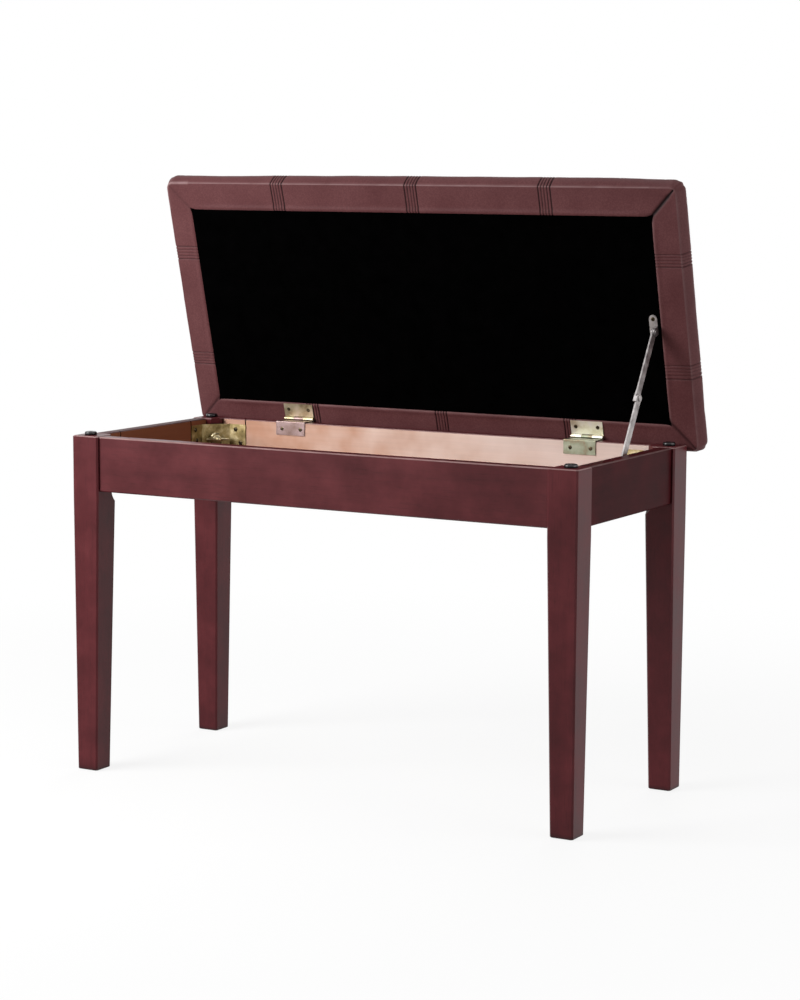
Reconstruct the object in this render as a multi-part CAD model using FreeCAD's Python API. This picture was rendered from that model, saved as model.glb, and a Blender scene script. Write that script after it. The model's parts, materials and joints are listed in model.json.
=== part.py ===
import FreeCAD, Part
import math
import os

V = FreeCAD.Vector
X_AXIS = V(1, 0, 0)
Y_AXIS = V(0, 1, 0)
Z_AXIS = V(0, 0, 1)

# Frame, measured over the legs
frame_length = 720.0
frame_depth = 313.0
frame_height = 438.0

# Legs: square blocks at the top, tapered on all four sides to the foot
leg_top = 39.5
leg_block = 82.0
leg_taper_outer = 1.5
leg_taper_inner = 7.4
leg_edge_ease = 2.0
leg_top_ease = 1.2
leg_foot_ease = 0.8
runout_radius = 25.0

# Foot glides nailed under the legs
glide_radius = 9.0
glide_height = 1.0

# Aprons, set back behind the leg faces
apron_height = 70.5
apron_thickness = 18.0
apron_recess = 4.2
apron_drop = 0.5
apron_edge = 1.5

# Bottom panel held in grooves
panel_thickness = 4.0
panel_rise = 6.0
panel_tongue = 6.0
groove_gap = 0.15
panel_leg_gap = 0.5

# Stamped corner brackets hooked into saw kerfs
bracket_bend = 28.0
bracket_reach = 54.0
bracket_sheet = 1.5
bracket_height = 43.0
bracket_top_drop = 7.0
bracket_hook = 4.0
bracket_leg_gap = 2.0
kerf_gap = 0.25
arch_radius = 8.5
arch_bead = 1.3

# Hanger bolts and wing nuts
bolt_radius = 3.5
bolt_in_leg = 32.0
bolt_out = 21.0
bolt_drop = 26.5
bolt_gap = 0.1
nut_hub_radius = 5.6
nut_hub_height = 9.0
nut_wing_span = 15.5
nut_wing_rise = 13.0
nut_wing_width = 7.0
nut_wing_bevel = 2.5
nut_wing_sheet = 2.4

# Rubber bumpers on the leg tops
bumper_radius = 8.0
bumper_edge = 2.0
bumper_shift = 2.5
bumper_gap = 0.5

# Hinges
hinge_inset = 104.0
hinge_shift = 4.8
hinge_width = 45.0
hinge_sheet = 1.2
hinge_knuckle = 2.5
hinge_pin = 1.25
hinge_pin_gap = 0.06
hinge_knuckles = 3
hinge_side_gap = 0.3
hinge_set_back = 0.6
hinge_axis_rise = 2.9
hinge_axis_drop = 2.6
hinge_leaf_drop = 17.5
hinge_lid_leaf = 20.8

# Upholstered lid
lid_open = 75.4
lid_overhang_side = 12.5
lid_overhang_front = 13.6
lid_overhang_back = 9.0
lid_corner = 9.0
lid_rim = 30.0
lid_crown = 37.0
lid_bulge = 4.5
lid_top_round = 13.0
lid_draw_rise = 16.0
lid_dome_inset = 3.0
lid_skin = 2.4
lid_fit = 0.2
board_thickness = 12.0
board_inset = 5.0
wrap_width = 42.0
mitre_width = 0.8
mitre_depth = 1.0
felt_border = 34.8
felt_leaf_gap = 1.0
felt_thickness = 0.8
felt_corner = 4.0

# Bands of pin tucks sewn across and along the lid
tuck_band = 17.0
tuck_depth = 1.1
tuck_end_inset = 176.0
tuck_edge_inset = 94.0

# Folding lid stay on the right side
stay_wall_gap = 5.6
stay_sheet = 2.0
stay_play = 0.3
stay_width = 11.0
stay_lid_reach = 146.4
stay_arm_difference = 4.0
stay_foot_reach = 139.4
stay_foot_drop = 17.5
stay_plate = 1.5
stay_plate_gap = 0.5
stay_screw_reach = 14.5
stay_foot_plate_length = 38.0
stay_foot_pad = 6.0
stay_boss = 4.8
stay_rivet = 2.4
stay_rivet_gap = 0.15
stay_rivet_head = 3.8
stay_rivet_rise = 1.4
stay_stop_length = 7.0
stay_stop_sheet = 1.5

# Levels and faces that the pieces share
half_length = frame_length / 2
half_depth = frame_depth / 2
apron_top = frame_height - apron_drop
apron_base = apron_top - apron_height
inner_x = half_length - apron_recess - apron_thickness
inner_y = half_depth - apron_recess - apron_thickness
leg_inner_x = half_length - leg_top
leg_inner_y = half_depth - leg_top
panel_z = apron_base + panel_rise
bracket_top = apron_top - bracket_top_drop
bolt_z = apron_top - bolt_drop
axis_y = half_depth - hinge_set_back
axis_z = apron_top + hinge_axis_rise
under_z = axis_z + hinge_axis_drop
lid_half_length = half_length + lid_overhang_side
lid_front = -half_depth - lid_overhang_front
lid_back = half_depth + lid_overhang_back
stay_x = inner_x - stay_wall_gap

# Corner diagonal, from the aprons' inner corner towards the middle
DIAGONAL = V(-1, -1, 0).normalize()
ACROSS = V(1, -1, 0).normalize()
plate_along = bracket_bend / math.sqrt(2)
flat_along = plate_along - bracket_leg_gap


def box(x0, x1, y0, y1, z0, z1):
    return Part.makeBox(x1 - x0, y1 - y0, z1 - z0, V(x0, y0, z0))


def line(a, b):
    return Part.LineSegment(a, b).toShape()


def rounded_rectangle(x0, x1, y0, y1, z, radius):
    """Closed outline of four lines and four quarter arcs."""
    c = radius * (1 - math.sqrt(0.5))
    corners = [
        (V(x1 - radius, y0, z), V(x1 - c, y0 + c, z), V(x1, y0 + radius, z)),
        (V(x1, y1 - radius, z), V(x1 - c, y1 - c, z), V(x1 - radius, y1, z)),
        (V(x0 + radius, y1, z), V(x0 + c, y1 - c, z), V(x0, y1 - radius, z)),
        (V(x0, y0 + radius, z), V(x0 + c, y0 + c, z), V(x0 + radius, y0, z)),
    ]
    edges = []
    for i, (start, middle, end) in enumerate(corners):
        edges.append(Part.Arc(start, middle, end).toShape())
        edges.append(line(end, corners[(i + 1) % 4][0]))
    return Part.Wire(edges)


def polygon_prism(points, sweep):
    return Part.Face(Part.makePolygon(points + points[:1])).extrude(sweep)


def flat_sided(sections):
    """Solid with flat faces between outlines of equally many points, listed from the foot up."""
    faces = [Part.Face(Part.makePolygon(end + end[:1])) for end in (sections[0], sections[-1])]
    for low, high in zip(sections, sections[1:]):
        for i in range(len(low)):
            j = (i + 1) % len(low)
            faces.append(Part.Face(Part.makePolygon([low[i], low[j], high[j], high[i], low[i]])))
    shell = Part.Shell(faces)
    shell.sewShape()
    return Part.Solid(shell)


def fuse(shapes):
    return shapes[0].multiFuse(shapes[1:]).removeSplitter()


def on_corner(shape, sx, sy):
    """Carry a piece made for the rear right corner to any corner."""
    if sx < 0:
        shape = shape.mirror(V(0, 0, 0), X_AXIS)
    if sy < 0:
        shape = shape.mirror(V(0, 0, 0), Y_AXIS)
    return shape


def on_all_corners(shapes):
    corners = ((-1, -1), (1, -1), (1, 1), (-1, 1))
    return Part.makeCompound([on_corner(s, sx, sy) for sx, sy in corners for s in shapes])


def opened(shape):
    """Swing a piece of the closed lid up to the open pose."""
    shape = shape.copy()
    shape.rotate(V(0, axis_y, axis_z), X_AXIS, -lid_open)
    return shape


def opened_point(y, z):
    a = math.radians(lid_open)
    dy = y - axis_y
    dz = z - axis_z
    return axis_y + dy * math.cos(a) + dz * math.sin(a), axis_z - dy * math.sin(a) + dz * math.cos(a)


def corner_point(along, across, z):
    return V(inner_x, inner_y, z) + DIAGONAL * along + ACROSS * across


# Legs, glides and bumpers

def leg_section(z, outer, inner):
    """Square outline with eased corners."""
    x0, x1 = leg_inner_x + inner, half_length - outer
    y0, y1 = leg_inner_y + inner, half_depth - outer
    e = leg_edge_ease
    points = [V(x0 + e, y0, z), V(x1 - e, y0, z), V(x1, y0 + e, z), V(x1, y1 - e, z),
              V(x1 - e, y1, z), V(x0 + e, y1, z), V(x0, y1 - e, z), V(x0, y0 + e, z)]
    return points


def leg_flat_cutter():
    """Flat across the leg's inner corner, running out in an arc under the apron."""
    top = frame_height + 1
    end_along = flat_along + runout_radius
    c = runout_radius * (1 - math.sqrt(0.5))
    side = -leg_top / 2
    a = corner_point(flat_along, side, top)
    b = corner_point(flat_along, side, apron_base)
    middle = corner_point(flat_along + c, side, apron_base - runout_radius + c)
    end = corner_point(end_along, side, apron_base - runout_radius)
    d = corner_point(end_along, side, top)
    edges = [line(a, b), Part.Arc(b, middle, end).toShape(), line(end, d), line(d, a)]
    return Part.Face(Part.Wire(edges)).extrude(ACROSS * leg_top)


def leg():
    sections = [
        leg_section(glide_height, leg_taper_outer + leg_foot_ease, leg_taper_inner + leg_foot_ease),
        leg_section(glide_height + leg_foot_ease, leg_taper_outer, leg_taper_inner),
        leg_section(frame_height - leg_block, 0, 0),
        leg_section(frame_height - leg_top_ease, 0, 0),
        leg_section(frame_height, leg_top_ease, leg_top_ease),
    ]
    post = flat_sided(sections)
    bore = Part.makeCylinder(bolt_radius + bolt_gap, bolt_in_leg, corner_point(flat_along, 0, bolt_z), DIAGONAL * -1)
    return post.cut(leg_flat_cutter()).cut(bore)


def foot_glide():
    shift = (leg_taper_inner - leg_taper_outer - leg_top) / 2
    return Part.makeCylinder(glide_radius, glide_height, V(half_length + shift, half_depth + shift, 0))


def lid_bumper():
    """Low disc with its upper rim bevelled, just short of the closed lid."""
    top = under_z - bumper_gap
    shift = bumper_shift - leg_top / 2
    outline = [V(0, 0, frame_height), V(bumper_radius, 0, frame_height), V(bumper_radius, 0, top - bumper_edge),
               V(bumper_radius - bumper_edge, 0, top), V(0, 0, top)]
    disc = Part.Face(Part.makePolygon(outline + outline[:1])).revolve(V(0, 0, 0), Z_AXIS, 360)
    disc.translate(V(half_length + shift, half_depth + shift, 0))
    return disc


# Corner brackets with their bolts and nuts

def arch_rib():
    """Raised rib that arches over the bolt and runs down to the bracket's lower edge."""
    face = plate_along + bracket_sheet
    foot = bracket_top - bracket_height
    big = arch_radius + arch_bead
    small = arch_radius - arch_bead

    def spot(across, z):
        return corner_point(face, across, z)

    edges = [line(spot(-big, foot), spot(-big, bolt_z)),
             Part.Arc(spot(-big, bolt_z), spot(0, bolt_z + big), spot(big, bolt_z)).toShape(),
             line(spot(big, bolt_z), spot(big, foot)), line(spot(big, foot), spot(small, foot)),
             line(spot(small, foot), spot(small, bolt_z)),
             Part.Arc(spot(small, bolt_z), spot(0, bolt_z + small), spot(-small, bolt_z)).toShape(),
             line(spot(-small, bolt_z), spot(-small, foot)), line(spot(-small, foot), spot(-big, foot))]
    return Part.Face(Part.Wire(edges)).extrude(DIAGONAL * arch_bead)


def corner_bracket():
    t = bracket_sheet
    lap = bracket_bend + t * (math.sqrt(2) - 1)
    half = [(bracket_reach, -bracket_hook), (bracket_reach, t), (lap, t)]
    back = [(bracket_bend, 0), (bracket_reach - t, 0), (bracket_reach - t, -bracket_hook)]
    outline = half + [(v, u) for u, v in reversed(half)] + [(v, u) for u, v in reversed(back)] + back
    foot = bracket_top - bracket_height
    points = [V(inner_x - u, inner_y - v, foot) for u, v in outline]
    shape = fuse([polygon_prism(points, Z_AXIS * bracket_height), arch_rib()])
    bolt_hole = Part.makeCylinder(bolt_radius + bolt_gap, 4 * t, corner_point(plate_along - t, 0, bolt_z), DIAGONAL)
    return shape.cut(bolt_hole)


def hanger_bolt():
    length = bolt_in_leg + bracket_leg_gap + bracket_sheet + bolt_out
    return Part.makeCylinder(bolt_radius, length, corner_point(flat_along - bolt_in_leg, 0, bolt_z), DIAGONAL)


def wing_nut():
    seat = plate_along + bracket_sheet
    low_z = bolt_z - nut_wing_sheet / 2
    tip = seat + nut_wing_rise
    pieces = [Part.makeCylinder(nut_hub_radius, nut_hub_height, corner_point(seat, 0, bolt_z), DIAGONAL)]
    for side in (-1, 1):
        outline = [(seat + nut_wing_bevel, bolt_radius), (seat + nut_hub_height, bolt_radius),
                   (tip, nut_wing_span - nut_wing_width), (tip, nut_wing_span - nut_wing_bevel),
                   (tip - nut_wing_bevel, nut_wing_span), (tip - nut_wing_width, nut_wing_span)]
        pieces.append(polygon_prism([corner_point(along, side * across, low_z) for along, across in outline],
                                    Z_AXIS * nut_wing_sheet))
    bore = Part.makeCylinder(bolt_radius + bolt_gap, nut_hub_height + 2, corner_point(seat - 1, 0, bolt_z), DIAGONAL)
    return fuse(pieces).cut(bore)


def bracket_kerfs():
    """Saw cuts that take the brackets' hooked ends."""
    near = bracket_reach - bracket_sheet - kerf_gap
    far = bracket_reach + kerf_gap
    depth = bracket_hook + kerf_gap
    z0 = apron_base - 1
    z1 = apron_top + 1
    return [box(inner_x - far, inner_x - near, inner_y - 1, inner_y + depth, z0, z1),
            box(inner_x - 1, inner_x + depth, inner_y - far, inner_y - near, z0, z1)]


# Aprons and bottom panel

def eased_board(x0, x1, y0, y1, along):
    """Apron blank with its four long edges eased."""
    blank = box(x0, x1, y0, y1, apron_base, apron_top)
    long_edges = [e for e in blank.Edges if abs(e.tangentAt(e.FirstParameter).dot(along)) > 0.99]
    return blank.makeChamfer(apron_edge, long_edges)


def panel_room():
    reach = panel_tongue + 1
    return box(-inner_x - reach, inner_x + reach, -inner_y - reach, inner_y + reach,
               panel_z - groove_gap, panel_z + panel_thickness + groove_gap)


def aprons():
    cutter = [panel_room(), on_all_corners(bracket_kerfs())]
    blanks = {
        "apron_front": eased_board(-leg_inner_x, leg_inner_x, -inner_y - apron_thickness, -inner_y, X_AXIS),
        "apron_rear": eased_board(-leg_inner_x, leg_inner_x, inner_y, inner_y + apron_thickness, X_AXIS),
        "apron_left": eased_board(-inner_x - apron_thickness, -inner_x, -leg_inner_y, leg_inner_y, Y_AXIS),
        "apron_right": eased_board(inner_x, inner_x + apron_thickness, -leg_inner_y, leg_inner_y, Y_AXIS),
    }
    return {name: blank.cut(cutter) for name, blank in blanks.items()}


def bottom_panel():
    x = inner_x + panel_tongue
    y = inner_y + panel_tongue
    z = panel_z + panel_thickness
    sheet = box(-x, x, -y, y, panel_z, z)
    notch = box(leg_inner_x - panel_leg_gap, x + 1, leg_inner_y - panel_leg_gap, y + 1, panel_z - 1, z + 1)
    return sheet.cut(on_all_corners([notch]))


# Hinges

def knuckle_spans(centre, lid_side_wanted):
    pitch = hinge_width / hinge_knuckles
    start = centre - hinge_width / 2
    spans = []
    for i in range(hinge_knuckles):
        if (i % 2 == 0) == lid_side_wanted:
            spans.append((start + i * pitch + hinge_side_gap / 2, start + (i + 1) * pitch - hinge_side_gap / 2))
    return spans


def barrel(radius, x0, x1):
    return Part.makeCylinder(radius, x1 - x0, V(x0, axis_y, axis_z), X_AXIS)


def knuckled(leaf, centre, lid_side_wanted):
    """Give a leaf its own knuckles, room for the other leaf's and the pin's bore."""
    room = hinge_knuckle + hinge_side_gap
    for a, b in knuckle_spans(centre, not lid_side_wanted):
        leaf = leaf.cut(box(a - hinge_side_gap, b + hinge_side_gap, axis_y - room, axis_y + room,
                            axis_z - room, axis_z + room))
    own = [barrel(hinge_knuckle, a, b) for a, b in knuckle_spans(centre, lid_side_wanted)]
    bore = barrel(hinge_pin + hinge_pin_gap, centre - hinge_width, centre + hinge_width)
    return fuse([leaf] + own).cut(bore)


def hinge_centres():
    reach = leg_inner_x - hinge_inset
    return {"left": hinge_shift - reach, "right": hinge_shift + reach}


def hinge_frame_leaf(centre):
    """Angle leaf: down the apron's inner face and over its top to the barrel."""
    x0 = centre - hinge_width / 2
    x1 = centre + hinge_width / 2
    face = inner_y - hinge_sheet
    top = apron_top + hinge_sheet
    angle = fuse([box(x0, x1, face, inner_y, apron_top - hinge_leaf_drop, top), box(x0, x1, face, axis_y, apron_top, top)])
    bend = [e for e in angle.Edges if abs(e.CenterOfMass.y - face) < 1e-6 and abs(e.CenterOfMass.z - top) < 1e-6]
    angle = angle.makeFillet(hinge_sheet, bend)
    return knuckled(angle, centre, False)


def hinge_lid_leaf_closed(centre):
    leaf = box(centre - hinge_width / 2, centre + hinge_width / 2, axis_y - hinge_lid_leaf, axis_y,
               under_z - hinge_sheet, under_z)
    return knuckled(leaf, centre, True)


def hinge_pin_rod(centre):
    return barrel(hinge_pin, centre - hinge_width / 2, centre + hinge_width / 2)


# Upholstered lid, drawn closed

def pad_block(inset):
    """Plain block of the pad's widest outline."""
    grow = lid_bulge - inset
    base = under_z + inset
    outline = rounded_rectangle(-lid_half_length - grow, lid_half_length + grow, lid_front - grow, lid_back + grow,
                                base, lid_corner + grow)
    return Part.Face(outline).extrude(Z_AXIS * (lid_rim - 2 * inset))


def edges_at(shape, z):
    return [e for e in shape.Edges if all(abs(v.Z - z) < 1e-6 for v in e.Vertexes)]


def crown_dome(inset):
    """Crown between the rounded edges: level along its border and highest in the middle."""
    half_x = lid_half_length + lid_bulge - lid_top_round - lid_dome_inset
    half_y = (lid_back - lid_front) / 2 + lid_bulge - lid_top_round - lid_dome_inset
    middle = (lid_front + lid_back) / 2
    z = under_z + lid_rim - inset
    surface = Part.BezierSurface()
    surface.increase(2, 2)
    for i in (-1, 0, 1):
        for j in (-1, 0, 1):
            lift = 4 * (lid_crown - lid_rim) if i == j == 0 else 0
            surface.setPole(i + 2, j + 2, V(i * half_x, middle + j * half_y, z + lift))
    corners = [V(i * half_x, middle + j * half_y, z) for i, j in ((-1, -1), (1, -1), (1, 1), (-1, 1))]
    shell = Part.Shell([surface.toShape(), Part.Face(Part.makePolygon(corners + corners[:1]))])
    shell.sewShape()
    return Part.Solid(shell)


def drawn_in(block, inset):
    """Slope the sides in to the underside, an even inset within the pad's outer sides."""
    slope = lid_bulge / lid_draw_rise
    lean = math.hypot(1, slope)
    across = lid_bulge - inset * (1 + slope - lean)
    return block.makeChamfer(across / slope, across, edges_at(block, under_z + inset))


def pad_form(inset):
    """Pad with its sides rounded over at the top and drawn in to the underside, and a crowned top."""
    block = pad_block(inset)
    block = block.makeFillet(lid_top_round - inset, edges_at(block, under_z + lid_rim - inset))
    return drawn_in(block, inset).fuse(crown_dome(inset))


def core_form(inset):
    """Plainer form of the pad's filling, bevelled inside the cover's rounded edges."""
    block = pad_block(inset)
    block = block.makeChamfer(lid_top_round - inset, edges_at(block, under_z + lid_rim - inset))
    return drawn_in(block, inset).fuse(crown_dome(inset))


def tuck_slabs():
    """Slabs on every tucked band, across and along the pad."""
    far = frame_length
    half = tuck_band / 2
    end = lid_half_length - tuck_end_inset
    z0 = under_z - 1
    z1 = under_z + 2 * lid_crown
    slabs = []
    for x in (-end, 0, end):
        slabs.append(box(x - half, x + half, -far, far, z0, z1))
    for y in (lid_front + tuck_edge_inset, lid_back - tuck_edge_inset):
        slabs.append(box(-far, far, y - half, y + half, z0, z1))
    return slabs


def corner_mitres():
    """Folded joins of the wrapped cover at the underside corners."""
    reach = 2 * felt_border
    slots = []
    for sx, y in ((-1, lid_front), (1, lid_front), (-1, lid_back), (1, lid_back)):
        sy = -1 if y == lid_front else 1
        slot = box(-reach, 0, -mitre_width / 2, mitre_width / 2, -1, mitre_depth)
        slot.rotate(V(0, 0, 0), Z_AXIS, math.degrees(math.atan2(sy, sx)))
        slot.translate(V(sx * lid_half_length, y, under_z))
        slots.append(slot)
    return slots


def seat_cover():
    """Cover with its padding: sewn skin over the core, wrapped under the board."""
    floor = pad_form(tuck_depth)
    tucks = [slab.cut(floor) for slab in tuck_slabs()]
    window = box(wrap_width - lid_half_length, lid_half_length - wrap_width, lid_front + wrap_width,
                 lid_back - wrap_width, under_z - 1, under_z + 2 * lid_skin)
    return pad_form(0).cut(tucks).cut(core_form(lid_skin)).cut([window] + corner_mitres())


def seat_board():
    grow = -board_inset
    z = under_z + lid_skin + lid_fit
    outline = rounded_rectangle(-lid_half_length - grow, lid_half_length + grow, lid_front - grow, lid_back + grow, z,
                                lid_corner - board_inset)
    return Part.Face(outline).extrude(Z_AXIS * board_thickness)


def seat_foam():
    far = frame_length
    seat = under_z + lid_skin + board_thickness + 2 * lid_fit
    return core_form(lid_skin + lid_fit).cut(box(-far, far, -far, far, under_z - far, seat))


def dust_cover():
    outline = rounded_rectangle(felt_border - lid_half_length, lid_half_length - felt_border, lid_front + felt_border,
                                axis_y - hinge_lid_leaf - felt_leaf_gap, under_z - felt_thickness, felt_corner)
    return Part.Face(outline).extrude(Z_AXIS * felt_thickness)


# Folding stay: two arms in neighbouring planes, straight when the lid is open

stay_lid_z = under_z - felt_thickness - stay_plate - stay_plate_gap - stay_width / 2
lid_pivot_closed = (axis_y - stay_lid_reach, stay_lid_z)
lid_pivot = opened_point(*lid_pivot_closed)
foot_pivot = (axis_y - stay_foot_reach, apron_top - stay_foot_drop)
stay_span = math.dist(lid_pivot, foot_pivot)
stay_upper_length = (stay_span - stay_arm_difference) / 2
stay_lower_length = (stay_span + stay_arm_difference) / 2
stay_way = ((foot_pivot[0] - lid_pivot[0]) / stay_span, (foot_pivot[1] - lid_pivot[1]) / stay_span)
elbow = (lid_pivot[0] + stay_way[0] * stay_upper_length, lid_pivot[1] + stay_way[1] * stay_upper_length)
upper_x = stay_x - stay_play / 2 - stay_sheet
lower_x = stay_x + stay_play / 2
stay_far_x = lower_x + stay_sheet


def elbow_when_closed():
    """Meeting point of both arms below the lid, folded towards the front."""
    dy = lid_pivot_closed[0] - foot_pivot[0]
    dz = lid_pivot_closed[1] - foot_pivot[1]
    d = math.hypot(dy, dz)
    turn = math.acos((stay_lower_length ** 2 + d ** 2 - stay_upper_length ** 2) / (2 * stay_lower_length * d))
    a = math.atan2(dz, dy) + turn
    return foot_pivot[0] + stay_lower_length * math.cos(a), foot_pivot[1] + stay_lower_length * math.sin(a)


def round_ended(p, q, radius, x0, x1):
    """Flat bar with round ends between two points of a plane across X."""
    py, pz = p
    qy, qz = q
    d = math.dist(p, q)
    ty, tz = (qy - py) / d * radius, (qz - pz) / d * radius
    a, b = V(x0, py - tz, pz + ty), V(x0, qy - tz, qz + ty)
    c, e = V(x0, qy + tz, qz - ty), V(x0, py + tz, pz - ty)
    edges = [line(a, b), Part.Arc(b, V(x0, qy + ty, qz + tz), c).toShape(), line(c, e),
             Part.Arc(e, V(x0, py - ty, pz - tz), a).toShape()]
    return Part.Face(Part.Wire(edges)).extrude(X_AXIS * (x1 - x0))


def pivot_bore(point):
    return Part.makeCylinder(stay_rivet + hinge_pin_gap, 2 * stay_width, V(stay_x - stay_width, *point), X_AXIS)


def rivet_head(point, x):
    return Part.makeCylinder(stay_rivet_head, stay_rivet_rise, V(x, *point), X_AXIS)


def rivet(point, x0, x1):
    shank = Part.makeCylinder(stay_rivet, x1 - x0, V(x0, *point), X_AXIS)
    return fuse([shank, rivet_head(point, x0 - stay_rivet_rise), rivet_head(point, x1)])


def stay_stop():
    """Lug at the elbow, bent over the lower arm's edge to lock the stay straight."""
    inner = stay_width / 2 + stay_play
    outer = inner + stay_stop_sheet

    def spot(along, aside, x):
        return V(x, elbow[0] + stay_way[0] * along + stay_way[1] * aside,
                 elbow[1] + stay_way[1] * along - stay_way[0] * aside)

    lug = [spot(-stay_width, 0, upper_x), spot(-stay_width, stay_width / 2, upper_x), spot(0, outer, upper_x),
           spot(stay_stop_length, outer, upper_x), spot(stay_stop_length, inner, upper_x), spot(0, 0, upper_x)]
    lip = [spot(0, inner, upper_x), spot(0, outer, upper_x), spot(stay_stop_length, outer, upper_x),
           spot(stay_stop_length, inner, upper_x)]
    return [polygon_prism(lug, X_AXIS * stay_sheet), polygon_prism(lip, X_AXIS * (stay_far_x - upper_x))]


def stay_upper_arm():
    bar = round_ended(lid_pivot, elbow, stay_width / 2, upper_x, upper_x + stay_sheet)
    return fuse([bar] + stay_stop()).cut([pivot_bore(lid_pivot), pivot_bore(elbow)])


def stay_lower_arm():
    bar = round_ended(elbow, foot_pivot, stay_width / 2, lower_x, stay_far_x).cut(pivot_bore(elbow))
    return fuse([bar, rivet_head(foot_pivot, lower_x - stay_rivet_rise)])


def stay_elbow_rivet():
    return rivet(elbow, upper_x, stay_far_x + stay_rivet_gap)


def stay_lid_rivet_closed():
    return rivet(lid_pivot_closed, upper_x - stay_rivet_gap, lower_x + stay_plate)


def stay_lid_bracket_closed():
    """Strap under the lid, round at its screw end, with an ear turned down for the pivot."""
    y, z = lid_pivot_closed
    r = stay_width / 2
    top = under_z - felt_thickness
    x1 = lower_x + stay_plate
    screw_y = y - stay_screw_reach
    strap = box(x1 - stay_width, x1, screw_y, y + r, top - stay_plate, top)
    round_end = Part.makeCylinder(r, stay_plate, V(x1 - r, screw_y, top - stay_plate))
    ear = [box(lower_x, x1, y - r, y + r, z, top), Part.makeCylinder(r, stay_plate, V(lower_x, y, z), X_AXIS)]
    return fuse([strap, round_end] + ear).cut(pivot_bore(lid_pivot_closed))


def stay_frame_bracket():
    """Plate on the right apron with a boss that carries the lower arm's end."""
    y, z = foot_pivot
    half = stay_foot_plate_length / 2
    plate = box(inner_x - stay_plate, inner_x, y - half, y + half, z - stay_foot_pad, z + stay_foot_pad)
    plate = plate.makeChamfer(stay_foot_pad / 2, [e for e in plate.Edges if abs(e.Length - stay_plate) < 1e-6])
    near = stay_far_x + stay_play
    return fuse([plate, Part.makeCylinder(stay_boss, inner_x - near, V(near, y, z), X_AXIS)])


def turn_between(a, b, c, d):
    """Turn in degrees about X from the way a-b to the way c-d."""
    before = math.atan2(b[1] - a[1], b[0] - a[0])
    after = math.atan2(d[1] - c[1], d[0] - c[0])
    return math.degrees(after - before)


def stay_turns():
    folded = elbow_when_closed()
    upper = turn_between(lid_pivot, elbow, lid_pivot_closed, folded) % 360 - 360
    lower = turn_between(elbow, foot_pivot, folded, foot_pivot) % 360
    return upper - lid_open, lower - upper, folded


def build():
    corner = {"front_left": (-1, -1), "front_right": (1, -1), "rear_right": (1, 1), "rear_left": (-1, 1)}
    parts = {"leg_" + name: on_corner(leg(), *signs) for name, signs in corner.items()}
    parts.update({"corner_bracket_" + name: on_corner(corner_bracket(), *signs) for name, signs in corner.items()})
    parts.update(aprons())
    parts["bottom_panel"] = bottom_panel()
    parts["foot_glides"] = on_all_corners([foot_glide()])
    parts["lid_bumpers"] = on_all_corners([lid_bumper()])
    parts["hanger_bolts"] = on_all_corners([hanger_bolt()])
    parts["wing_nuts"] = on_all_corners([wing_nut()])
    for side, centre in hinge_centres().items():
        parts["hinge_frame_leaf_" + side] = hinge_frame_leaf(centre)
        parts["hinge_lid_leaf_" + side] = opened(hinge_lid_leaf_closed(centre))
        parts["hinge_pin_" + side] = hinge_pin_rod(centre)
    parts["seat_cover"] = opened(seat_cover())
    parts["seat_foam"] = opened(seat_foam())
    parts["seat_board"] = opened(seat_board())
    parts["dust_cover"] = opened(dust_cover())
    parts["stay_lid_bracket"] = opened(stay_lid_bracket_closed())
    parts["stay_lid_rivet"] = opened(stay_lid_rivet_closed())
    parts["stay_upper_arm"] = stay_upper_arm()
    parts["stay_elbow_rivet"] = stay_elbow_rivet()
    parts["stay_lower_arm"] = stay_lower_arm()
    parts["stay_frame_bracket"] = stay_frame_bracket()
    return parts


def main():
    os.makedirs("parts", exist_ok=True)
    for name, shape in build().items():
        shape.exportStep("parts/%s.step" % name)
        print("%-28s solids %2d volume %10.1f valid %s" % (name, len(shape.Solids), shape.Volume, shape.isValid()))
    upper_turn, lower_turn, folded = stay_turns()
    print("hinge axis y %.2f z %.2f" % (axis_y, axis_z))
    print("lid pivot %.3f %.3f elbow %.3f %.3f foot %.3f %.3f" % (lid_pivot + elbow + foot_pivot))
    print("folded elbow %.2f %.2f" % folded)
    print("stay turns for the closing lid: upper %.3f lower %.3f" % (upper_turn, lower_turn))
    print("stay ratios: upper %.6f lower %.6f" % (upper_turn / lid_open, lower_turn / lid_open))


main()
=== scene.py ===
import json
import math

import bpy
from mathutils import Matrix, Vector, kdtree, noise


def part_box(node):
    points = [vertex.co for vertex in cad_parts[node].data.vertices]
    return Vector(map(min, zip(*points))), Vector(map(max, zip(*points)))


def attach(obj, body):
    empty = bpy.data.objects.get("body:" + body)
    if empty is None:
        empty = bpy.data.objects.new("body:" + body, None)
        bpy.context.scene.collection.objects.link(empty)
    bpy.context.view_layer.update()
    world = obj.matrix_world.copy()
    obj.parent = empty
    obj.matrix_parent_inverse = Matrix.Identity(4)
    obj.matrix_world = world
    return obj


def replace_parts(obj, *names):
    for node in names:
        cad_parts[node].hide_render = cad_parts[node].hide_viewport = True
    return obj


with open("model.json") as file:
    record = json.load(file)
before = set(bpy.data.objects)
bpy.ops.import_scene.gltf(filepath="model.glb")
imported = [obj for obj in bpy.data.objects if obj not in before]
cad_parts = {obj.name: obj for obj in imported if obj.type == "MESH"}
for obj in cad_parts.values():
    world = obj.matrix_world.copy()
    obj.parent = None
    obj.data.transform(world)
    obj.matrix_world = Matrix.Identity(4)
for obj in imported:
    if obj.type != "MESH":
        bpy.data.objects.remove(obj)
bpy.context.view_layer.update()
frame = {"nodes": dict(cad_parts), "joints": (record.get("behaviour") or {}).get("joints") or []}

NODES = frame["nodes"]
CORNERS = {"front_left": (-1, -1), "front_right": (1, -1), "rear_right": (1, 1), "rear_left": (-1, 1)}
MM = 0.001

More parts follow.
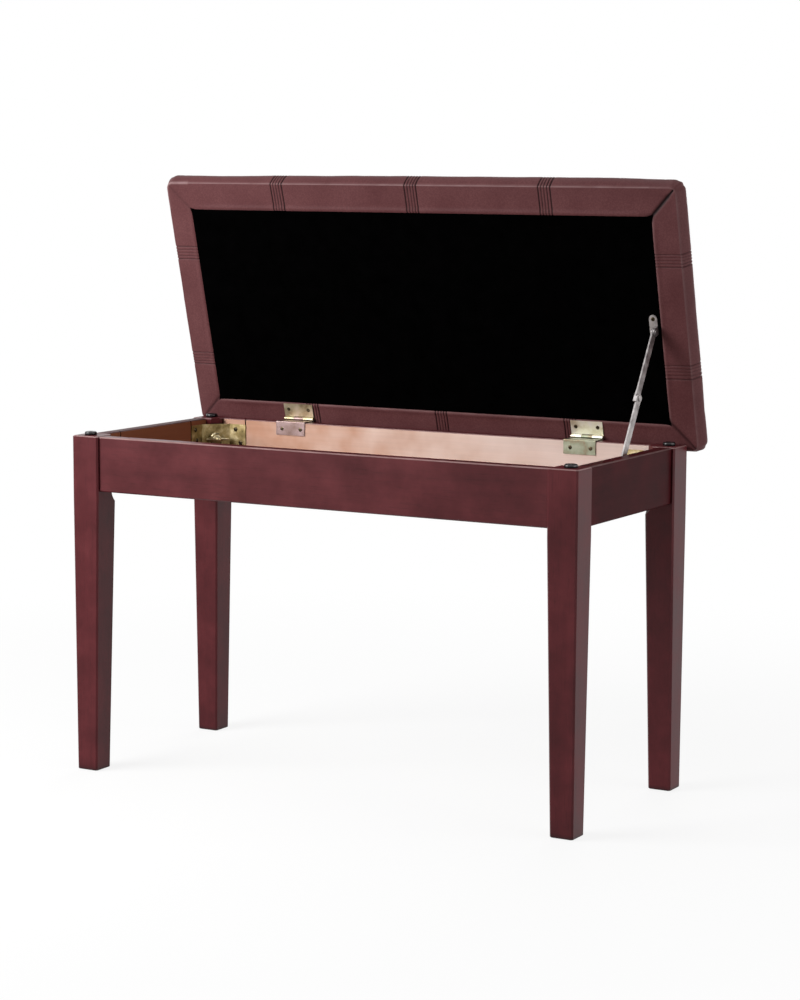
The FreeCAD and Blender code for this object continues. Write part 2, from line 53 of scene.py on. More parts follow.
# Camera fitted to the photograph
camera_place = (1.6615, -2.8455, 0.7936)
camera_yaw = 29.743
camera_pitch = 7.472
camera_roll = 0.236
camera_lens = 94.147
camera_sensor = 36.0

# Cushion, in millimetres
pad_corner = 13.5
pad_rim = 30.0
pad_top_round = 13.0
pad_bulge = 4.5
pad_draw_rise = 16.0
pad_draw_curve = 1.4
pad_edge = 1.2
pad_edge_zone = 2.0
pad_end_zone = 40.0
pad_full = 1.2
pad_front_full = 2.0
pad_full_fade = 90.0
pad_front_reach = 1.4
pad_rear_droop = 1.8

# Tolerances when points of the cushion are sorted
slack = 0.1
level_slack = 0.01

# Swell of the cushion under pressure
swell_limit = 3.5
swell_pressure = 4.0
swell_quality = 6
swell_frames = 20
swell_neighbours = 4
swell_blend = 0.3

# Folds, hem, wrinkles (height and size) of the cover, painted shade in its folds and painted highlights on
# its edges and hem
fold_depth = 1.8
fold_width = 1.9
fold_shade = 1.5
fold_strength = {(-1, -1): 0.16, (1, -1): 1.0, (1, 1): 0.5, (-1, 1): 0.4}
gather_depth = 0.7
gather_folds = 9
wrinkles = ((0.35, 45.0), (0.15, 12.0))
under_share = 0.5
hem_rise = 0.9
hem_width = 2.6
hem_corner_fade = 25.0
highlight_width = 1.1
highlight_ends = 0.4
highlight_long_sides = 0.7
highlight_front_left = 0.9
highlight_hem = 0.3

# Bands of pin tucks; shifts say how far askew each band was sewn at its two ends
tuck_pitch = 4.2
tuck_width = 0.8
tuck_depth = 1.5
tuck_shade = (0.9, 0.55, 0.5, 0.6, 1.0)
# Painted shade in the stitched lines, stronger across the pad than along it
cross_line_shade = 1.7
long_line_shade = 0.6
tuck_end_inset = 180.5
tuck_edge_inset = 98.5
cross_shifts = ((-2.0, 9.0), (4.3, 10.3), (-1.5, 1.5))
long_shifts = ((2.2, -3.6), (5.2, -8.2))

# Grid steps of the cushion at its edges, near its ends, in the open and across a band
fine_steps = (0.4, 1.6, 9.0, tuck_pitch / 7)
coarse_steps = (2.0, 7.0, 12.0, 5.25)

# Grid steps up its sides, at the lower edge and above
fine_levels = (0.4, 2.2)
coarse_levels = (pad_edge, 5.0)

# Felt
felt_step = 6.0
felt_ripple = 0.12
felt_ripple_size = 28.0
felt_ripple_fade = 20.0
felt_corner = 7.0
felt_sink = 0.4

# Hardware, in millimetres; screws of a bracket are (reach, height) pairs, recess sizes are shares of the head
bracket_bend = 28.0
bracket_sheet = 1.5
long_wing_screws = ((38.1, 423.3), (46.2, 405.3))
short_wing_screws = ((44.6, 424.2), (41.4, 409.6))
bracket_screw_radius = 3.2
bracket_screw_rise = 1.3
bolt_radius = 3.5
bolt_out = 21.0
bolt_sunk = 4.0
thread_pitch = 1.25
thread_depth = 0.45
thread_end = 1.2
thread_end_taper = 0.9
hinge_screw_radius = 2.6
hinge_screw_rise = 0.7
frame_leaf_screw_spread = 14.4
frame_leaf_screw_shift = 1.4
frame_leaf_screw_rise = 8.4
lid_leaf_screw_spread = 15.5
lid_leaf_screw_reach = 12.8
lid_leaf_sheet = 1.2
stay_sheet = 1.5
stay_screw_radius = 2.7
stay_screw_rise = 1.1
stay_foot_screw_spread = 13.0
screw_sunk = 0.4
recess_reach = 0.62
recess_width = 0.15
recess_depth = 0.9
bumper_radius = 8.0
bumper_edge = 2.0

# Turned profiles: hub of a wing nut (radius, height), dimple of a bumper (radius, depth)
hub_profile = ((3.6, 0.0), (8.2, 0.0), (8.6, 0.5), (8.2, 1.2), (6.3, 1.9), (6.0, 3.0), (5.7, 8.0),
               (5.2, 9.0), (3.6, 9.0))
dimple_profile = ((2.6, 0.1), (2.0, 0.7), (0.6, 0.9), (0.05, 0.9))

# Wing of a nut
wing_root = 4.0
wing_reach = 12.5
wing_base = 5.0
wing_lift = 5.6
wing_half_height = 4.0
wing_belly = 0.8
wing_half_thick = 2.3
wing_thinning = 0.7
wing_tip_from = 0.62

# Finish of the wood
raw_margin = 0.4
# Reach of the painted shade in narrow corners
crevice_reach = 7.0

# Lamps: place, aim, size in metres and watts
lamps = {
    "key": ((-0.98, -1.1, 1.05), (0, 0, 0.4), (1.0, 1.0), 31),
    "top": ((0.0, 0.3, 2.6), (0, 0, 0.4), (2.0, 1.4), 8),
    "side": ((2.4, 0.1, 0.7), (0.3, 0, 0.25), (1.9, 1.9), 25),
    "back": ((-0.6, 2.8, 0.9), (0, 0, 0.5), (1.8, 1.2), 36),
}
ambient = 0.10
floor_half = 30

# Places taken from the frame
hinge = next(j for j in frame["joints"] if j["name"] == "lid_hinge")
hinge_at = Vector(hinge["pos_m"])
lid_turn = Matrix.Rotation(-math.radians(hinge["range_deg"][1]), 4, "X")
TO_WORLD = Matrix.Scale(MM, 4)
TO_LID = Matrix.Translation(hinge_at) @ lid_turn @ Matrix.Translation(-hinge_at) @ TO_WORLD


def box_mm(node):
    low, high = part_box(node)
    return low / MM, high / MM


def closed_box(node):
    """Box of a lid node with the lid shut, in millimetres."""
    back = TO_LID.inverted()
    points = [back @ v.co for v in NODES[node].data.vertices]
    low = Vector([min(p[i] for p in points) for i in range(3)])
    high = Vector([max(p[i] for p in points) for i in range(3)])
    return low, high


inner_x = box_mm("apron_right")[0].x
inner_y = box_mm("apron_rear")[0].y
bolt_z = sum(v.z for v in box_mm("hanger_bolts")) / 2
pad_low, pad_high = closed_box("seat_cover")
felt_low, felt_high = closed_box("dust_cover")
under_z = pad_low.z
pad_middle_y = (pad_low.y + pad_high.y) / 2
pad_half_y = (pad_high.y - pad_low.y) / 2
pad_crown = pad_high.z - pad_low.z - pad_rim
cross_bands = [tuck_end_inset - pad_high.x, 0.0, pad_high.x - tuck_end_inset]
long_bands = [pad_low.y + tuck_edge_inset, pad_high.y - tuck_edge_inset]
tuck_half = len(tuck_shade) * tuck_pitch / 2


# Node materials

class Shader:
    """Node material under construction."""

    def __init__(self, name):
        self.material = bpy.data.materials.new(name)
        self.material.use_nodes = True
        self.tree = self.material.node_tree
        self.surface = self.tree.nodes["Principled BSDF"]

    def node(self, kind, inputs, **settings):
        node = self.tree.nodes.new("ShaderNode" + kind)
        for key, value in settings.items():
            setattr(node, key, value)
        self.fill(node, inputs)
        return node

    def fill(self, node, inputs):
        for key, value in inputs.items():
            if isinstance(value, bpy.types.NodeSocket):
                self.tree.links.new(value, node.inputs[key])
            else:
                node.inputs[key].default_value = value

    def finish(self, **inputs):
        self.fill(self.surface, {key.replace("_", " "): value for key, value in inputs.items()})
        return self.material

    def place(self, scale=(1, 1, 1)):
        spot = self.node("TexCoord", {}).outputs["Object"]
        return self.node("Mapping", {"Vector": spot, "Scale": scale}).outputs[0]

    def attribute(self, name):
        return self.node("Attribute", {}, attribute_name=name).outputs["Vector"]

    def level(self, name):
        return self.node("Attribute", {}, attribute_name=name).outputs["Fac"]

    def noise(self, vector, scale, detail=4.0, roughness=0.55):
        inputs = {"Vector": vector, "Scale": scale, "Detail": detail, "Roughness": roughness}
        return self.node("TexNoise", inputs).outputs[0]

    def cells(self, vector, scale):
        inputs = {"Vector": vector, "Scale": scale}
        return self.node("TexVoronoi", inputs, feature="SMOOTH_F1").outputs["Distance"]

    def ramp(self, value, *stops):
        """Colours, or grey levels, at places from 0 to 1."""
        node = self.node("ValToRGB", {"Fac": value})
        marks = node.color_ramp.elements
        while len(marks) < len(stops):
            marks.new(0.5)
        for mark, (spot, colour) in zip(marks, stops):
            mark.position = spot
            mark.color = (*colour, 1) if isinstance(colour, tuple) else (colour, colour, colour, 1)
        return node.outputs[0]

    def math(self, operation, *values):
        return self.node("Math", dict(enumerate(values)), operation=operation).outputs[0]

    def mix(self, factor, a, b, blend_type="MIX"):
        node = self.node("Mix", {0: factor, 6: a, 7: b}, data_type="RGBA", blend_type=blend_type)
        return node.outputs[2]

    def bump(self, height, strength, distance):
        inputs = {"Height": height, "Strength": strength, "Distance": distance * MM}
        return self.node("Bump", inputs).outputs[0]


def grain_scale(along, across, axis):
    return tuple(along if i == axis else across for i in range(3))


def wood_stain(s, axis):
    """Colour, roughness and height of stained, lacquered wood with its grain along one axis."""
    streaks = s.noise(s.place(grain_scale(4, 70, axis)), 1.0, 5.0, 0.58)
    pores = s.noise(s.place(grain_scale(45, 700, axis)), 1.0, 2.0)
    clouds = s.noise(s.place(), 18.0, 4.0, 0.6)
    figure = s.math("ADD", s.math("MULTIPLY", streaks, 0.3), s.math("MULTIPLY", clouds, 0.7))
    colour = s.ramp(figure, (0.34, (0.062, 0.0078, 0.0102)), (0.5, (0.086, 0.0120, 0.0152)),
                    (0.66, (0.116, 0.0185, 0.0225)))
    flecks = s.ramp(pores, (0.30, 0.82), (0.42, 1.0))
    colour = s.mix(1.0, colour, flecks, "MULTIPLY")
    # Painted highlight on the up-facing eased edges
    colour = s.mix(s.math("MULTIPLY", painted_rim_highlight(s), 0.7), colour, (0.46, 0.30, 0.29, 1))
    # Painted shade in narrow corners
    colour = s.mix(1.0, colour, s.ramp(crevice_shade(s), (0.45, 0.16), (0.75, 1.0)), "MULTIPLY")
    roughness = s.ramp(clouds, (0.3, 0.28), (0.7, 0.40))
    height = s.math("ADD", s.math("MULTIPLY", streaks, 0.6), s.math("MULTIPLY", pores, 0.4))
    return colour, roughness, height


def crevice_shade(s):
    """Below 1 in narrow corners: painted shade there."""
    return s.node("AmbientOcclusion", {"Distance": crevice_reach * MM}, samples=8).outputs["AO"]


def painted_rim_highlight(s):
    """1 on the eased edges that slope up to a top face, where a pale highlight is painted."""
    up = s.node("SeparateXYZ", {"Vector": s.node("NewGeometry", {}).outputs["Normal"]}).outputs[2]
    patches = s.ramp(s.noise(s.place(), 40.0), (0.3, 0.55), (0.7, 1.0))
    return s.math("MULTIPLY", patches, s.ramp(up, (0.45, 0.0), (0.6, 1.0), (0.8, 1.0), (0.93, 0.0)))


def stained_wood(name, axis, specular):
    """Leg wood, darker at the very foot."""
    s = Shader(name)
    colour, roughness, height = wood_stain(s, axis)
    level = s.node("SeparateXYZ", {"Vector": s.place()}).outputs[2]
    darker_foot = s.ramp(s.math("MULTIPLY", level, 50.0), (0.05, 0.75), (0.35, 0.0))
    colour = s.mix(darker_foot, colour, (0.014, 0.004, 0.005, 1))
    return s.finish(Base_Color=colour, Roughness=roughness, Normal=s.bump(height, 0.10, 0.25),
                    Specular_IOR_Level=specular)


def worn_highlit_edge(name, axis):
    """Same stain, worn thinner and polished along the edges; the lighter colour there is partly wear and
    partly painted highlight.
    """
    s = Shader(name)
    colour, _, height = wood_stain(s, axis)
    thinned_and_highlit = s.ramp(s.noise(s.place(), 60.0), (0.35, 0.10), (0.7, 0.5))
    # Lighter edge colour: wear and painted highlight
    return s.finish(Base_Color=s.mix(thinned_and_highlit, colour, (0.24, 0.085, 0.080, 1)), Roughness=0.26,
                    Normal=s.bump(height, 0.08, 0.2), Specular_IOR_Level=0.4)


def raw_wood(s, axis, tones):
    """Unfinished wood, its tone drifting from one end of the bench to the other."""
    streaks = s.noise(s.place(grain_scale(4, 130, axis)), 1.0, 6.0, 0.6)
    clouds = s.noise(s.place(), 14.0, 3.0)
    along = s.node("SeparateXYZ", {"Vector": s.place()}).outputs[0]
    drift = s.math("ADD", s.math("MULTIPLY", along, 1.2), s.math("MULTIPLY", clouds, 0.9))
    tone = s.ramp(drift, (0.10, tones[0]), (0.45, tones[1]), (0.80, tones[2]))
    return s.mix(1.0, tone, s.ramp(streaks, (0.3, 0.86), (0.7, 1.0)), "MULTIPLY")


def apron_wood(name, axis, tones, depth, specular):
    """Stained outside, darkened more or less deeply as painted shade, and left raw on the faces inside the
    well.
    """
    s = Shader(name)
    colour, roughness, height = wood_stain(s, axis)
    spot = s.node("SeparateXYZ", {"Vector": s.place()})
    raw = s.math("MULTIPLY",
                 s.math("LESS_THAN", s.math("ABSOLUTE", spot.outputs[0]), (inner_x + raw_margin) * MM),
                 s.math("LESS_THAN", s.math("ABSOLUTE", spot.outputs[1]), (inner_y + raw_margin) * MM))
    # Darkening by depth: painted shade
    colour = s.mix(1.0, colour, (depth, depth, depth, 1), "MULTIPLY")
    return s.finish(Base_Color=s.mix(raw, colour, raw_wood(s, axis, tones)),
                    Roughness=s.mix(raw, roughness, (0.62, 0.62, 0.62, 1)),
                    Normal=s.bump(height, 0.10, 0.25), Specular_IOR_Level=specular)


def pressed_board(name):
    s = Shader(name)
    fibres = s.noise(s.place(), 260.0, 6.0, 0.7)
    colour = s.ramp(fibres, (0.3, (0.20, 0.10, 0.05)), (0.7, (0.38, 0.22, 0.12)))
    return s.finish(Base_Color=colour, Roughness=s.ramp(fibres, (0.3, 0.6), (0.7, 0.8)),
                    Normal=s.bump(fibres, 0.2, 0.3))


def ply_wood(name):
    s = Shader(name)
    streaks = s.noise(s.place(grain_scale(4, 120, 0)), 1.0, 5.0)
    layers = {"Vector": s.place(), "Scale": 90.0, "Distortion": 1.0}
    plies = s.node("TexWave", layers, bands_direction="Z").outputs[0]
    veneer = s.ramp(streaks, (0.3, (0.42, 0.28, 0.16)), (0.7, (0.62, 0.45, 0.28)))
    colour = s.mix(0.25, veneer, plies, "MULTIPLY")
    return s.finish(Base_Color=colour, Roughness=s.ramp(streaks, (0.3, 0.6), (0.7, 0.75)),
                    Normal=s.bump(streaks, 0.2, 0.3))


def leather(name):
    """Grained burgundy cover: pebbled, softly clouded, with painted shade in the stitched lines and folds and
    painted highlights on edges.
    """
    s = Shader(name)
    flat = s.attribute("flat")
    pebbles = s.cells(flat, 620.0)
    fine = s.noise(flat, 1500.0, 3.0, 0.6)
    clouds = s.noise(flat, 13.0, 4.0, 0.6)
    tone = s.ramp(clouds, (0.30, (0.112, 0.037, 0.039)), (0.70, (0.160, 0.060, 0.062)))
    tone = s.mix(s.ramp(pebbles, (0.1, 0.0), (0.6, 0.35)), tone, (0.06, 0.016, 0.018, 1))
    # Painted highlight on edges and hem
    tone = s.mix(s.level("painted_highlight"), tone, (0.36, 0.23, 0.23, 1))
    # Painted shade in the stitched lines and mitre folds
    colour = s.mix(s.level("crease_shade"), tone, (0.010, 0.0022, 0.0028, 1))
    height = s.math("SUBTRACT", s.math("MULTIPLY", fine, 0.3), pebbles)
    return s.finish(Base_Color=colour, Roughness=s.ramp(clouds, (0.3, 0.44), (0.7, 0.54)),
                    Normal=s.bump(height, 0.22, 0.25), Specular_IOR_Level=0.10)


def felt_cloth(name):
    s = Shader(name)
    flat = s.place()
    fibres = s.noise(flat, 1400.0, 4.0, 0.7)
    mats = s.noise(flat, 45.0, 4.0)
    nap = s.math("MULTIPLY", fibres, mats)
    colour = s.ramp(nap, (0.1, (0.0003, 0.0003, 0.0003)), (0.5, (0.0013, 0.0012, 0.0013)))
    return s.finish(Base_Color=colour, Roughness=s.ramp(mats, (0.3, 0.9), (0.7, 1.0)),
                    Specular_IOR_Level=0.0, Sheen_Weight=0.004, Sheen_Roughness=0.5,
                    Normal=s.bump(fibres, 0.5, 0.5))


def plated(name, tones, rough_low, rough_high, scale):
    """Plated sheet metal with cloudy tone and fine rolling marks."""
    s = Shader(name)
    clouds = s.noise(s.place(), scale, 5.0, 0.6)
    marks = s.noise(s.place((900, 140, 900)), 1.0, 3.0)
    stops = [(0.32 + 0.36 * i / (len(tones) - 1), tone) for i, tone in enumerate(tones)]
    roughness = s.ramp(s.math("ADD", s.math("MULTIPLY", clouds, 0.6), s.math("MULTIPLY", marks, 0.4)),
                       (0.3, rough_low), (0.7, rough_high))
    # Painted shade in narrow corners
    painted_corner_shade = s.ramp(crevice_shade(s), (0.35, 0.2), (0.75, 1.0))
    colour = s.mix(1.0, s.ramp(clouds, *stops), painted_corner_shade, "MULTIPLY")
    return s.finish(Base_Color=colour, Metallic=1.0, Roughness=roughness, Normal=s.bump(marks, 0.05, 0.1))


def moulded(name, dark, light, rough_low, rough_high, specular):
    """Moulded rubber or nylon with a fine satin texture."""
    s = Shader(name)
    speckle = s.noise(s.place(), 1800.0, 3.0)
    clouds = s.noise(s.place(), 120.0, 3.0)
    return s.finish(Base_Color=s.ramp(clouds, (0.3, dark), (0.7, light)),
                    Roughness=s.ramp(clouds, (0.3, rough_low), (0.7, rough_high)),
                    Normal=s.bump(speckle, 0.06, 0.1), Specular_IOR_Level=specular)


# Mesh helpers

def add_piece(name, verts, faces, matrix, material, body, slot):
    mesh = bpy.data.meshes.new(name)
    mesh.from_pydata([matrix @ Vector(v) for v in verts], [], faces)
    mesh.validate()
    mesh.polygons.foreach_set("use_smooth", [True] * len(mesh.polygons))
    mesh.materials.append(material)
    piece = bpy.data.objects.new(name, mesh)
    bpy.context.scene.collection.objects.link(piece)
    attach(piece, body)
    return piece


def facing(spot, way):
    """Places a form so that its own Z looks along a way."""
    turn = Vector(way).to_track_quat("Z", "Y").to_matrix().to_4x4()
    return Matrix.Translation(Vector(spot)) @ turn


def joined(parts):
    """One list of points and faces out of several placed forms."""
    verts, faces = [], []
    for (points, polygons), matrix in parts:
        start = len(verts)
        verts += [matrix @ Vector(p) for p in points]
        faces += [[start + i for i in polygon] for polygon in polygons]
    return verts, faces


def rings(loops):
    """Skin over loops of equally many points, closed at both ends."""
    count = len(loops[0])
    verts = [p for loop in loops for p in loop]
    faces = []
    for k in range(len(loops) - 1):
        for i in range(count):
            j = (i + 1) % count
            faces.append((k * count + i, k * count + j, (k + 1) * count + j, (k + 1) * count + i))
    faces.append(tuple(reversed(range(count))))
    faces.append(tuple(range(len(verts) - count, len(verts))))
    return verts, faces


def circle(radius, z, count):
    return [(radius * math.cos(2 * math.pi * i / count), radius * math.sin(2 * math.pi * i / count), z)
            for i in range(count)]


def lathe(profile, count=32):
    """Turned form from (radius, height) pairs, with small end caps."""
    return rings([circle(r, z, count) for r, z in profile])


def eased(value):
    value = min(max(value, 0.0), 1.0)
    return value * value * (3 - 2 * value)


# Cushion

def spread(low, high, step):
    count = max(1, round((high - low) / step))
    return [low + (high - low) * i / count for i in range(count + 1)]


def grid_lines(low, high, bands, steps):
    """Grid places from end to end, finest at both edges, finer near the ends and across each band."""
    edge, end, plain, band = steps
    runs = [(low, edge), (low + pad_edge_zone, end), (low + pad_end_zone, plain)]
    for middle in bands:
        runs += [(middle - tuck_half, band), (middle + tuck_half, plain)]
    runs += [(high - pad_end_zone, end), (high - pad_edge_zone, edge), (high, edge)]
    places = []
    for (a, step), (b, _) in zip(runs, runs[1:]):
        places += spread(a, b, step)[:-1]
    return places + [high]


def level_lines(edge_step, step):
    places = spread(0.0, pad_edge, edge_step)[:-1]
    places += spread(pad_edge, pad_rim - pad_top_round, step)[:-1]
    return places + spread(pad_rim - pad_top_round, pad_rim, step)


def box_skin(xs, ys, zs):
    """Points and quads on the six sides of a box of grid lines."""
    index, points, faces = {}, [], []
    nx, ny, nz = len(xs) - 1, len(ys) - 1, len(zs) - 1

    def corner(i, j, k):
        key = (i, j, k)
        if key not in index:
            index[key] = len(points)
            points.append(Vector((xs[i], ys[j], zs[k])))
        return index[key]

    for i in range(nx):
        for j in range(ny):
            for k, order in ((0, -1), (nz, 1)):
                quad = [corner(i, j, k), corner(i + 1, j, k), corner(i + 1, j + 1, k), corner(i, j + 1, k)]
                faces.append(quad[::order])
    for i in range(nx):
        for k in range(nz):
            for j, order in ((0, 1), (ny, -1)):
                quad = [corner(i, j, k), corner(i + 1, j, k), corner(i + 1, j, k + 1), corner(i, j, k + 1)]
                faces.append(quad[::order])
    for j in range(ny):
        for k in range(nz):
            for i, order in ((0, -1), (nx, 1)):
                quad = [corner(i, j, k), corner(i, j + 1, k), corner(i, j + 1, k + 1), corner(i, j, k + 1)]
                faces.append(quad[::order])
    return points, faces


def turned_round(a, b):
    """Square corner made round: the larger of two offsets becomes the radius."""
    length = math.hypot(a, b)
    reach = max(a, b)
    return (a * reach / length, b * reach / length) if length else (0.0, 0.0)


def corner_offsets(q):
    dx = max(abs(q.x) - pad_high.x + pad_corner, 0.0)
    dy = max(abs(q.y - pad_middle_y) - pad_half_y + pad_corner, 0.0)
    return dx, dy


def fullness(q):
    """How far the sides belly out: most along the front, from the middle to the right."""
    front = eased((pad_middle_y - q.y) / pad_half_y * 3)
    rightward = eased((q.x / pad_high.x + 0.85) * 1.3)
    before_end = eased((pad_high.x - q.x) / pad_full_fade)
    return pad_full + pad_front_full * front * rightward * before_end


def pad_point(q):
    """Carries a point of the plain box onto the rounded, crowned pad."""
    dx, dy = corner_offsets(q)
    out = max(dx, dy)
    upper = q.z > pad_rim / 2
    edge = pad_top_round if upper else pad_edge
    aside = max(edge - pad_corner + out, 0.0)
    lift = max(abs(q.z - pad_rim / 2) - pad_rim / 2 + edge, 0.0)
    level = q.z
    reach = out
    if aside and lift:
        new_aside, new_lift = turned_round(aside, lift)
        reach = out - aside + new_aside
        level = q.z + (new_lift - lift) * (1 if upper else -1)
    draw = pad_bulge * max(1 - level / pad_draw_rise, 0) ** pad_draw_curve
    reach *= (pad_corner - draw + fullness(q) * math.sin(math.pi * level / pad_rim)) / pad_corner
    way = Vector((math.copysign(dx, q.x), math.copysign(dy, q.y - pad_middle_y), 0))
    flat = Vector((q.x, q.y, 0)) - way
    if way.length:
        flat += way.normalized() * reach
    u = q.x / pad_high.x
    v = (q.y - pad_middle_y) / pad_half_y
    crown = pad_crown * (1 - u * u) * (1 - v * v) * eased(q.z / pad_rim)
    front = pad_front_reach * eased(1 - (q.y - pad_low.y) / pad_end_zone)
    rear = pad_rear_droop * eased(1 - (pad_high.y - q.y) / pad_end_zone) * eased(u * 2 - 1)
    return flat + Vector((0, rear - front, under_z + level + crown))


def between(value, marks):
    """Straight-line reading of (place, amount) marks."""
    for (a, low), (b, high) in zip(marks, marks[1:]):
        if value <= b:
            return low + (high - low) * (value - a) / (b - a)
    return marks[-1][1]


def shifted(q):
    """Moves a point of the plain box so that each band runs as it was sewn, a little askew."""
    u = (q.x - pad_low.x) / (pad_high.x - pad_low.x)
    v = (q.y - pad_low.y) / (pad_high.y - pad_low.y)
    across = [front + (rear - front) * v for front, rear in cross_shifts]
    along = [left + (right - left) * u for left, right in long_shifts]
    dx = between(q.x, [(pad_low.x, 0), (pad_low.x + pad_end_zone, 0), *zip(cross_bands, across),
                       (pad_high.x - pad_end_zone, 0), (pad_high.x, 0)])
    dy = between(q.y, [(pad_low.y, 0), (pad_low.y + pad_end_zone, 0), *zip(long_bands, along),
                       (pad_high.y - pad_end_zone, 0), (pad_high.y, 0)])
    return q + Vector((dx, dy, 0))


def band_place(value, bands):
    """Signed distance to the nearest band's middle."""
    return min((value - band for band in bands), key=abs)


def tuck_line(distance):
    """From 0 between the sewn lines of a band to the line's own shade on it."""
    number = round(distance / tuck_pitch)
    middle = len(tuck_shade) // 2
    if abs(number) > middle:
        return 0.0
    return tuck_shade[number + middle] * math.exp(-((distance - number * tuck_pitch) / tuck_width) ** 2)


def tucks_at(q):
    """Depths of the sewn lines across and along the pad."""
    return tuck_line(band_place(q.x, cross_bands)), tuck_line(band_place(q.y, long_bands))


def in_band(q):
    nearest = min(abs(band_place(q.x, cross_bands)), abs(band_place(q.y, long_bands)))
    return nearest < tuck_half + slack


def mitre_distance(q):
    """Distance to the diagonal fold of the nearest underside corner."""
    return abs((pad_high.x - abs(q.x)) - (pad_half_y - abs(q.y - pad_middle_y))) / math.sqrt(2)


def felt_distance(q):
    """Distance outside the felt's border."""
    return max(q.x - felt_high.x, felt_low.x - q.x, q.y - felt_high.y, felt_low.y - q.y)


def on_border(q):
    """True on the leather turned under the board, outside the felt."""
    return q.z < level_slack and felt_distance(q) > 0


def fold_at(q):
    """How strongly a corner's mitre fold shows, from 0 to 1."""
    signs = (math.copysign(1, q.x), math.copysign(1, q.y - pad_middle_y))
    return fold_strength[signs] * math.exp(-(mitre_distance(q) / fold_width) ** 2)


def edge_distance(q):
    """Distance to the crisp edge between the underside and the sides."""
    return max(q.z, pad_corner - max(corner_offsets(q)))


def inflate(piece, held_points):
    """Cloth under pressure, held at some of its points."""
    held = piece.vertex_groups.new(name="held")
    held.add(held_points, 1.0, "REPLACE")
    cloth = piece.modifiers.new("cloth", "CLOTH")
    cloth.settings.vertex_group_mass = "held"
    cloth.settings.quality = swell_quality
    cloth.settings.use_pressure = True
    cloth.settings.uniform_pressure_force = swell_pressure
    cloth.settings.effector_weights.gravity = 0


def simulated_swell():
    """How far each point of a coarse cover moves, held at the underside and along the sewn bands."""
    xs = grid_lines(pad_low.x, pad_high.x, cross_bands, coarse_steps)
    ys = grid_lines(pad_low.y, pad_high.y, long_bands, coarse_steps)
    points, faces = box_skin(xs, ys, level_lines(*coarse_levels))
    laid = [shifted(q) for q in points]
    start = [pad_point(p) * MM for p in laid]
    mesh = bpy.data.meshes.new("swell")
    mesh.from_pydata(start, [], faces)
    cloth_piece = bpy.data.objects.new("swell", mesh)
    bpy.context.scene.collection.objects.link(cloth_piece)
    inflate(cloth_piece, [i for i, q in enumerate(points) if q.z < pad_edge + slack or in_band(q)])
    scene = bpy.context.scene
    for step in range(1, swell_frames + 1):
        scene.frame_set(step)
    solved = cloth_piece.evaluated_get(bpy.context.evaluated_depsgraph_get())
    swollen = solved.to_mesh()
    moves = [(v.co - p) / MM for v, p in zip(swollen.vertices, start)]
    solved.to_mesh_clear()
    bpy.data.objects.remove(cloth_piece)
    scene.frame_set(1)
    return laid, [m.normalized() * min(m.length, swell_limit) for m in moves]


def swell_reader():
    """Gives the simulated swell at any point of the plain box."""
    points, moves = simulated_swell()
    tree = kdtree.KDTree(len(points))
    for i, q in enumerate(points):
        tree.insert(q, i)
    tree.balance()

    def read(q):
        near = [(moves[i], 1 / (d + swell_blend)) for _, i, d in tree.find_n(q, swell_neighbours)]
        total = sum(w for _, w in near)
        return sum((m * w for m, w in near), Vector()) / total

    return read


def surface_move(q, laid):
    """Height over the smooth pad: sewn lines, mitre folds, hem and soft wrinkles."""
    move = -tuck_depth * max(tucks_at(q))
    dx, dy = corner_offsets(q)
    gather = min(dx, dy) / pad_corner
    move += gather_depth * gather * math.sin(gather_folds * math.atan2(dy, dx)) * eased(q.z / pad_rim * 3)
    move += sum(height * noise.noise(laid / size) for height, size in wrinkles)
    if q.z < level_slack:
        away = felt_distance(laid)
        if away < 0:
            return -felt_sink
        move = under_share * move - fold_depth * fold_at(q)
        corner = eased(mitre_distance(q) / hem_corner_fade)
        move += hem_rise * corner * math.exp(-((away - hem_width) / hem_width) ** 2)
    return move


def crease_shade_at(q, laid):
    """Painted shade of the leather in its stitched lines and mitre folds."""
    across, along = tucks_at(q)
    uneven = 0.95 + 0.35 * noise.noise(laid / 9)
    crease_shade = max(cross_line_shade * across, long_line_shade * along) * uneven
    fold = fold_shade * fold_at(q) if on_border(laid) else 0.0
    return min(max(crease_shade, fold), 1.0)


def painted_highlight_at(q, laid):
    """Painted highlight on the leather: on its lower edge, most at the front left, and beside the felt."""
    patchy = 0.7 + 0.5 * noise.noise(laid / 22) + 0.25 * noise.noise(laid / 6)
    highlight_strength = highlight_ends if abs(laid.x) > felt_high.x else highlight_long_sides
    width = highlight_width
    if laid.x < felt_low.x and laid.y < felt_low.y:
        highlight_strength = highlight_front_left
        width = 2 * highlight_width
    edge = highlight_strength * math.exp(-(edge_distance(q) / width) ** 2)
    hem = 0.0
    beside = max(laid.x - felt_high.x, laid.y - felt_high.y)
    if on_border(laid) and beside >= felt_distance(laid):
        hem = highlight_hem * math.exp(-((beside - 1.0) / highlight_width) ** 2)
    return min(max(patchy * max(edge, hem), 0.0), 1.0)


def store(mesh, name, kind, field, values):
    mesh.attributes.new(name, kind, "POINT")
    mesh.attributes[name].data.foreach_set(field, values)


